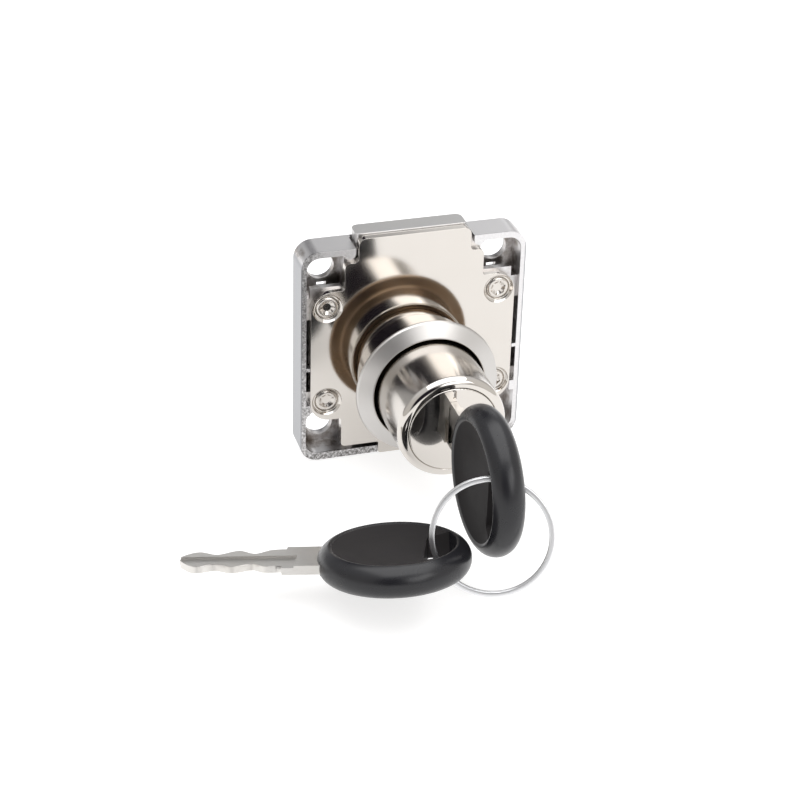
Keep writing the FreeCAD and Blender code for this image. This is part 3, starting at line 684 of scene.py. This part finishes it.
class LOCK_OT_rivets(Operator):
    """Builds the four rivets with staked heads"""
    bl_idname = "drawer_lock.rivets"
    bl_label = "Rivets"

    def execute(self, context):
        head = sizes().rivet_radius / MM
        reach = head * STAKE_SHARE
        profile = [(share * head, RIVET_FACE + depth) for share, depth in RIVET_DISH]
        profile += [(head, 0.7), *RIVET_SHANK]
        first = turn_profile("rivet", [(x, y, 0) for x, y in profile], steps=64)
        for turn in (12, 72, 132):
            stake = block("stake", (-reach, RIVET_FACE - 0.5, -STAKE_HALF),
                          (reach, RIVET_FACE + STAKE_DEPTH, STAKE_HALF))
            stake.rotation_euler = (0, math.radians(turn), 0)
            hold(stake)
            bpy.ops.object.transform_apply(rotation=True)
            boolean(first, stake, "DIFFERENCE")
        soften(first, 0.05 * MM, segments=2, angle=30)
        smooth(first, angle=35)
        material = plating("rivet plating")
        for number, (x, z) in enumerate(RIVETS, start=1):
            hold(first)
            bpy.ops.object.duplicate()
            rivet = bpy.context.object
            rivet.name = "rivet_%d" % number
            rivet.location = mm(x, 0, z)
            rivet.rotation_euler = (0, RIVET_TURN * number, 0)
            bpy.ops.object.transform_apply(location=True, rotation=True)
            finish_piece(rivet, material, "housing", "rivets", slot="rivet_chrome")
        bpy.data.objects.remove(first, do_unlink=True)
        return {"FINISHED"}


TRIM_MOUTH = 9.78
TRIM_BEARING = 9.5
COLLAR_RADIUS = 10.47
FLANGE_DEPTH = 2.15


class LOCK_OT_trim_ring(Operator):
    """Builds the flanged trim ring"""
    bl_idname = "drawer_lock.trim_ring"
    bl_label = "Trim ring"

    def execute(self, context):
        back = TRIM_HIGH.y
        front = TRIM_LOW.y
        outer = TRIM_HIGH.x
        flange = front + FLANGE_DEPTH
        collar = [(TRIM_BEARING, back), (10.1, back), (10.38, back - 0.1),
                  (COLLAR_RADIUS, back - 0.3), (COLLAR_RADIUS, back - 2.6),
                  (COLLAR_RADIUS, flange + 0.5), (10.6, flange + 0.18), (10.95, flange)]
        edge = [(outer - 0.4, flange), (outer - 0.12, flange - 0.12), (outer, flange - 0.36),
                (outer - 0.1, front + 1.36), (outer - 0.3, front + 1.16)]
        mouth = [(TRIM_MOUTH + 0.42, front + 0.07), (TRIM_MOUTH + 0.3, front),
                 (TRIM_MOUTH + 0.18, front + 0.02), (TRIM_MOUTH, front + 0.3)]
        throat = [(TRIM_MOUTH, front + 5.2), (TRIM_BEARING, front + 5.8), (TRIM_BEARING, back)]
        profile = collar + edge + mouth + throat
        piece = turn_profile("trim_ring_turned", [(x, y, 0) for x, y in profile])
        smooth(piece, angle=50)
        finish_piece(piece, plating("polished plating"), "trim_ring", "trim_ring",
                     slot="ring_chrome")
        paint(piece, plating("satin plating"),
              lambda spot: spot.y < flange - 0.3 and not self.inside(spot))
        # painted shade: the flange's back and the opening behind the mouth turn dark brown
        paint(piece, plating("shade-painted plating"), lambda spot: self.wear_and_shade(spot, front, flange))
        return {"FINISHED"}

    def inside(self, spot):
        """Whether a spot is on the wall of the ring's opening."""
        return math.hypot(spot.x, spot.z) <= TRIM_MOUTH + 0.1

    def wear_and_shade(self, spot, front, flange):
        """Whether a spot is on the flange's back or in the opening, behind its mouth, where dark
        brown shade is painted.
        """
        return flange - 0.3 < spot.y < flange + 0.5 or spot.y > front + 0.3 and self.inside(spot)


class LOCK_OT_plug(Operator):
    """Softens the plug with its keyway and index mark"""
    bl_idname = "drawer_lock.plug"
    bl_label = "Plug"

    def execute(self, context):
        piece = copy_of_node("plug", "plug_turned")
        soften(piece, 0.05 * MM, segments=2, angle=50)
        smooth(piece, angle=35)
        finish_piece(piece, plating("lip plating"), "plug", "plug", slot="plug_metal")
        return {"FINISHED"}


class LOCK_OT_bolt(Operator):
    """Softens the flat bolt"""
    bl_idname = "drawer_lock.bolt"
    bl_label = "Bolt"

    def execute(self, context):
        piece = copy_of_node("bolt", "bolt_bar")
        soften(piece, 0.3 * MM, segments=3, angle=40)
        smooth(piece, angle=40)
        finish_piece(piece, plating("tumbled bolt"), "bolt", "bolt", slot="bolt_metal")
        return {"FINISHED"}


# Keys and split ring

# a key's own frame has the blade along +Y from its shoulder at the origin, flat across X
HEAD_CENTRE = -17.55
RECESS_INSET = 0.3
FACE_INSET = 0.5
# the face's rise towards the rim: distance inside the recess, share of the whole rise
DISH = ((4.4, 0), (3.0, 0.1), (1.8, 0.3), (0.9, 0.56), (0.3, 0.8), (0, 0.93))
SLOT_INNER, SLOT_OUTER, SLOT_HALF, SLOT_CORNER = 4.95, 10.1, 5.5, 0.8
SLOT_REACH = 4
SLOT_SPREAD = 33
COLLAR_CORNERS = ((-1.3, 9.6, -4.9), (1.3, 11.55, 4.2))
IN_LOCK = Matrix.Translation(mm(0, -23.55, 0.8))
# the loose key on the ring: its shoulder in millimetres, then its heading, pitch and roll
LOOSE_SHOULDER = (-32.521, -37.996, -11.116)
LOOSE_TURN = (Matrix.Rotation(math.radians(69.82), 4, "Z")
              @ Matrix.Rotation(math.radians(-4.88), 4, "X")
              @ Matrix.Rotation(math.radians(14.26 - 90), 4, "Y"))
ON_RING = Matrix.Translation(mm(*LOOSE_SHOULDER)) @ LOOSE_TURN
KEYS = (("key_1", IN_LOCK), ("key_2", ON_RING))


def place_copy(model, name, place):
    """A copy of a key's piece, moved from the key's own frame to its place."""
    hold(model)
    bpy.ops.object.duplicate()
    piece = bpy.context.object
    piece.name = name
    piece.matrix_world = place
    bpy.ops.object.transform_apply(location=True, rotation=True, scale=True)
    return piece


def head_profile():
    """Half the head's section: the dished face, the bulging rim and the other face."""
    radius = keys().head_radius / MM
    half = keys().head_thickness / MM / 2
    web = keys().web_thickness / MM / 2
    rim = keys().rim_width / MM
    ridge = radius - rim
    recess = ridge - RECESS_INSET
    face = [(web, 0)]
    face += [(web + (half - web) * rise, recess - inset) for inset, rise in DISH]
    face.append((half, ridge))
    bulge_radius = (half ** 2 + rim ** 2) / (2 * rim)
    across = [half * math.cos(math.radians(9 * n)) for n in range(1, 20)]
    bulge = [(x, radius - bulge_radius + math.sqrt(bulge_radius ** 2 - x ** 2)) for x in across]
    whole = [(-x, r) for x, r in face + bulge] + face[::-1]
    return [(x, 0, r) for x, r in whole]


def slot_outline():
    """The slot for the ring: an arc outside, a straight edge with rounded corners inside."""
    near = -SLOT_INNER - SLOT_CORNER
    side = SLOT_HALF - SLOT_CORNER
    outline = [(-y, z) for y, z in arc((0, 0), SLOT_OUTER, -SLOT_SPREAD, SLOT_SPREAD, 14)]
    outline += arc((near, side), SLOT_CORNER, 90, 0, 3)
    outline += arc((near, -side), SLOT_CORNER, 0, -90, 3)
    return [(-SLOT_REACH, y, z) for y, z in outline]


def head_model():
    """The moulded head in the key's own frame."""
    piece = turn_profile("head_model", head_profile(), axis=(1, 0, 0))
    slot = extrude_outline("slot_tool", slot_outline(), (2 * SLOT_REACH, 0, 0))
    boolean(piece, slot, "DIFFERENCE")
    collar = block("collar", *COLLAR_CORNERS)
    soften(collar, 0.3 * MM, segments=3)
    boolean(piece, collar, "UNION")
    soften(piece, 0.18 * MM, segments=3, angle=60)
    piece.location = mm(0, HEAD_CENTRE, 0)
    hold(piece)
    bpy.ops.object.transform_apply(location=True)
    smooth(piece, angle=40)
    return piece


def on_face(spot):
    """Whether a spot of the head's model lies inside its rim."""
    reach = math.hypot(spot.y / MM - HEAD_CENTRE, spot.z / MM)
    return reach < (keys().head_radius - keys().rim_width) / MM - FACE_INSET


class LOCK_OT_key_heads(Operator):
    """Builds the two moulded key heads"""
    bl_idname = "drawer_lock.key_heads"
    bl_label = "Key heads"

    def execute(self, context):
        model = head_model()
        glossy = moulded_plastic("moulded rim", finishes().plastic, roughness=0.22, index=1.42)
        satin = moulded_plastic("moulded face", finishes().plastic_face, roughness=0.4,
                                index=1.08)
        for key, place in KEYS:
            piece = place_copy(model, key + "_moulded_head", place)
            finish_piece(piece, glossy, key, key + "_head", slot="key_plastic")
            paint(piece, satin, lambda spot: on_face(place.inverted() @ (spot * MM)))
        bpy.data.objects.remove(model, do_unlink=True)
        return {"FINISHED"}


class LOCK_OT_key_blades(Operator):
    """Softens the key blade and places it in both keys"""
    bl_idname = "drawer_lock.key_blades"
    bl_label = "Key blades"

    def execute(self, context):
        model = copy_of_node("key_1_blade", "blade_model")
        model.matrix_world = IN_LOCK.inverted()
        hold(model)
        bpy.ops.object.transform_apply(location=True, rotation=True, scale=True)
        soften(model, 0.07 * MM, segments=2, angle=30)
        smooth(model, angle=30)
        material = plating("key blade plating")
        for key, place in KEYS:
            piece = place_copy(model, key + "_cut_blade", place)
            finish_piece(piece, material, key, key + "_blade", slot="key_steel")
        bpy.data.objects.remove(model, do_unlink=True)
        return {"FINISHED"}


RING_TURNS = 2.02
RING_POINTS = 200
CROSSING_TURNS = 0.12
TURN_SPACING = 2.08
# the ring's centre in millimetres, its axis, and the way to the key in the lock
RING_CENTRE = (-2.08, -50.031, -3.8315)
RING_NORMAL = Vector((-0.333, -0.8988, 0.285))
RING_TOWARDS_KEY = Vector((0.2206, 0.2196, 0.9503))


class LOCK_OT_key_ring(Operator):
    """Winds the split ring: two turns of flattened wire lying side by side"""
    bl_idname = "drawer_lock.key_ring"
    bl_label = "Split ring"

    def execute(self, context):
        wide = keys().wire_width / 2
        thick = keys().wire_thickness / 2
        section = self.wire_section(wide, thick)
        radius = keys().ring_radius
        path = []
        for n in range(RING_POINTS + 1):
            turn = RING_TURNS * (n / RING_POINTS - 0.5)
            step = max(-0.5, min(0.5, turn / CROSSING_TURNS)) * thick * TURN_SPACING
            angle = 2 * math.pi * turn
            path.append((radius * math.cos(angle), radius * math.sin(angle), step))
        winding = self.draw_curve("split_ring", path)
        line = winding.data
        line.dimensions = "3D"
        line.twist_mode = "Z_UP"
        line.bevel_mode = "OBJECT"
        line.bevel_object = section
        line.use_fill_caps = True
        hold(winding)
        bpy.ops.object.convert(target="MESH")
        bpy.data.objects.remove(section, do_unlink=True)
        piece = context.object
        piece.matrix_world = self.place()
        bpy.ops.object.transform_apply(location=True, rotation=True, scale=True)
        smooth(piece, angle=40)
        finish_piece(piece, plating("bright wire"), "key_ring", "key_ring", slot="wire_steel")
        return {"FINISHED"}

    def draw_curve(self, name, spots):
        """A curve through spots in metres."""
        start_over()
        bpy.ops.curve.primitive_bezier_circle_add(radius=1)
        curve = bpy.context.object
        curve.name = name
        curve.data.splines.clear()
        path = curve.data.splines.new("POLY")
        path.points.add(len(spots) - 1)
        for point, spot in zip(path.points, spots):
            point.co = (*spot, 1)
        return curve

    def wire_section(self, wide, thick):
        """The wire's section: flat sides with rounded corners."""
        corner = thick * 0.8
        corners = [(wide - corner, thick - corner, 0), (corner - wide, thick - corner, 90),
                   (corner - wide, corner - thick, 180), (wide - corner, corner - thick, 270)]
        spots = [(*spot, 0) for x, y, start in corners
                 for spot in arc((x, y), corner, start, start + 90, 5)]
        section = self.draw_curve("wire_section", spots)
        section.data.splines[0].use_cyclic_u = True
        return section

    def place(self):
        """The ring's placement: its own Z is the axis, its own X points at the first key."""
        normal = RING_NORMAL.normalized()
        towards = (RING_TOWARDS_KEY - normal * RING_TOWARDS_KEY.dot(normal)).normalized()
        turn = Matrix((towards, normal.cross(towards), normal)).transposed()
        return Matrix.Translation(mm(*RING_CENTRE)) @ turn.to_4x4()


class LOCK_OT_insides(Operator):
    """Finishes the wafers, springs and crank, which keep their shapes"""
    bl_idname = "drawer_lock.insides"
    bl_label = "Insides"

    def execute(self, context):
        brass = plating("wafer brass")
        steel = plating("key blade plating")
        for name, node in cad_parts.items():
            if "wafer" in name or "spring" in name or name == "crank":
                bare_steel = "spring" in name or name == "crank"
                node.data.materials.clear()
                node.data.materials.append(steel if bare_steel else brass)
        return {"FINISHED"}


# Floor, lights and camera

# the camera's place in millimetres, its line of sight, its up and its focal length
VIEW_FROM = (-106.129, -327.841, 194.177)
VIEW_ALONG = (0.26121, 0.82222, -0.5057)
VIEW_UP = (0.12454, 0.4908, 0.86232)
FOCAL_PIXELS = 2270.0
FRAME_PIXELS = 800
SENSOR_WIDTH = 36
FLOOR_GAP = 0.05 * MM


def area_light(name, place, aim, wide, tall, power):
    """A rectangular light aimed at a point, in metres and watts."""
    light = bpy.data.lights.new(name, "AREA")
    light.shape = "RECTANGLE"
    light.size = wide
    light.size_y = tall
    light.energy = power
    lamp = bpy.data.objects.new(name, light)
    bpy.context.scene.collection.objects.link(lamp)
    lamp.location = place
    lamp.rotation_euler = (Vector(aim) - Vector(place)).to_track_quat("-Z", "Y").to_euler()


# patches of the room: direction, cosines where the patch starts and is full, and colour
ROOM_GREY = (0.55, 0.54, 0.53)
ROOM = (
    ((0, 0, 1), 0.25, 0.6, (0.85, 0.85, 0.86)),
    ((0, 1, 0.3), 0.6, 0.95, (0.45, 0.45, 0.45)),
    ((-1, -0.3, 0), 0.6, 0.95, (0.75, 0.73, 0.7)),
    ((1, -0.3, 0.2), 0.6, 0.95, (0.9, 0.88, 0.85)),
    ((-0.37, -0.84, 0.36), 0.87, 0.965, (0.015, 0.012, 0.02)),
    ((0.28, -0.85, 0.45), 0.95, 0.985, (3.0, 3.0, 3.0)),
    ((-0.08, 0.83, 0.56), 0.965, 0.99, (0.03, 0.025, 0.035)),
    ((0.41, 0.83, 0.37), 0.982, 0.995, (1.15, 1.15, 1.15)))


def room_patch(tree, direction, shade, toward, edge, core, tint):
    """Blends a patch of the room, seen in one direction, over the shade so far."""
    facing = tree.nodes.new("ShaderNodeVectorMath")
    facing.operation = "DOT_PRODUCT"
    link(tree, direction, facing.inputs[0])
    facing.inputs[1].default_value = Vector(toward).normalized()
    share = tree.nodes.new("ShaderNodeMapRange")
    share.interpolation_type = "SMOOTHSTEP"
    share.inputs["From Min"].default_value = edge
    share.inputs["From Max"].default_value = core
    link(tree, facing.outputs["Value"], share.inputs["Value"])
    return blend(tree, share.outputs["Result"], shade, tint)


class LOCK_OT_stage(Operator):
    """Sets the floor, the lights and the camera"""
    bl_idname = "drawer_lock.stage"
    bl_label = "Floor, lights and camera"

    def execute(self, context):
        self.floor()
        self.room()
        area_light("overhead light", place=(0.05, 0.0, 0.9), aim=(0, 0, 0), wide=1.2, tall=1.2,
                   power=9.6)
        area_light("side light", place=(0.55, -0.75, 0.6), aim=(0, -0.02, 0), wide=0.3, tall=0.4,
                   power=0.9)
        self.viewer()
        bpy.context.scene.view_settings.view_transform = "Standard"
        return {"FINISHED"}

    def floor(self):
        """A plain pale floor that glows a little, just under the lowest piece."""
        start_over()
        lowest = CAD_BOX[0][2]
        bpy.ops.mesh.primitive_plane_add(size=4, location=(0, 0, lowest - FLOOR_GAP))
        floor = bpy.context.object
        floor.name = "floor"
        pale = bpy.data.materials.new("pale floor")
        pale.use_nodes = True
        shader = pale.node_tree.nodes["Principled BSDF"]
        shader.inputs["Base Color"].default_value = (0.45, 0.45, 0.45, 1)
        shader.inputs["Emission Color"].default_value = (1, 0.995, 0.99, 1)
        shader.inputs["Emission Strength"].default_value = 0.72
        shader.inputs["Roughness"].default_value = 0.7
        shader.inputs["Specular IOR Level"].default_value = 0.2
        floor.data.materials.append(pale)

    def room(self):
        """The soft grey room with the light and dark patches that the metal mirrors."""
        surround = bpy.data.worlds.new("studio")
        bpy.context.scene.world = surround
        surround.use_nodes = True
        tree = surround.node_tree
        direction = tree.nodes.new("ShaderNodeTexCoord").outputs["Generated"]
        plain = tree.nodes.new("ShaderNodeRGB")
        shade = plain.outputs["Color"]
        shade.default_value = (*ROOM_GREY, 1)
        for toward, edge, core, tint in ROOM:
            shade = room_patch(tree, direction, shade, toward, edge, core, tint)
        link(tree, shade, tree.nodes["Background"].inputs["Color"])

    def viewer(self):
        """The camera, where the photograph was taken from."""
        camera = bpy.data.cameras.new("camera")
        camera.sensor_width = SENSOR_WIDTH
        camera.lens = SENSOR_WIDTH * FOCAL_PIXELS / FRAME_PIXELS
        camera.clip_start = 0.01
        viewer = bpy.data.objects.new("camera", camera)
        bpy.context.scene.collection.objects.link(viewer)
        back_axis = -Vector(VIEW_ALONG).normalized()
        up_axis = Vector(VIEW_UP).normalized()
        right_axis = up_axis.cross(back_axis).normalized()
        turn = Matrix((right_axis, back_axis.cross(right_axis), back_axis)).transposed()
        viewer.matrix_world = Matrix.Translation(mm(*VIEW_FROM)) @ turn.to_4x4()
        bpy.context.scene.camera = viewer


class LOCK_PT_panel(Panel):
    """Lists the lock's sizes, finishes and building steps"""
    bl_idname = "LOCK_PT_panel"
    bl_label = "Drawer lock"
    bl_space_type = "VIEW_3D"
    bl_region_type = "UI"
    bl_category = "Lock"

    def draw(self, context):
        for group in (sizes(), keys(), finishes()):
            column = self.layout.column()
            for prop in group.bl_rna.properties:
                if prop.identifier not in ("rna_type", "name"):
                    column.prop(group, prop.identifier)
        for step in STEPS:
            self.layout.operator(step.bl_idname)


STEPS = (LOCK_OT_case, LOCK_OT_plate, LOCK_OT_barrel, LOCK_OT_rivets, LOCK_OT_trim_ring,
         LOCK_OT_plug, LOCK_OT_bolt, LOCK_OT_key_heads, LOCK_OT_key_blades, LOCK_OT_key_ring,
         LOCK_OT_insides, LOCK_OT_stage)
CLASSES = (LockSizes, KeySizes, LockFinishes) + STEPS + (LOCK_PT_panel,)


def register():
    for kind in CLASSES:
        bpy.utils.register_class(kind)
    bpy.types.Scene.lock_sizes = PointerProperty(type=LockSizes)
    bpy.types.Scene.key_sizes = PointerProperty(type=KeySizes)
    bpy.types.Scene.lock_finishes = PointerProperty(type=LockFinishes)


def unregister():
    del bpy.types.Scene.lock_finishes
    del bpy.types.Scene.key_sizes
    del bpy.types.Scene.lock_sizes
    for kind in reversed(CLASSES):
        bpy.utils.unregister_class(kind)


def main():
    register()
    for step in STEPS:
        name = step.bl_idname.split(".")[1]
        getattr(bpy.ops.drawer_lock, name)()


if __name__ == "__main__":
    main()
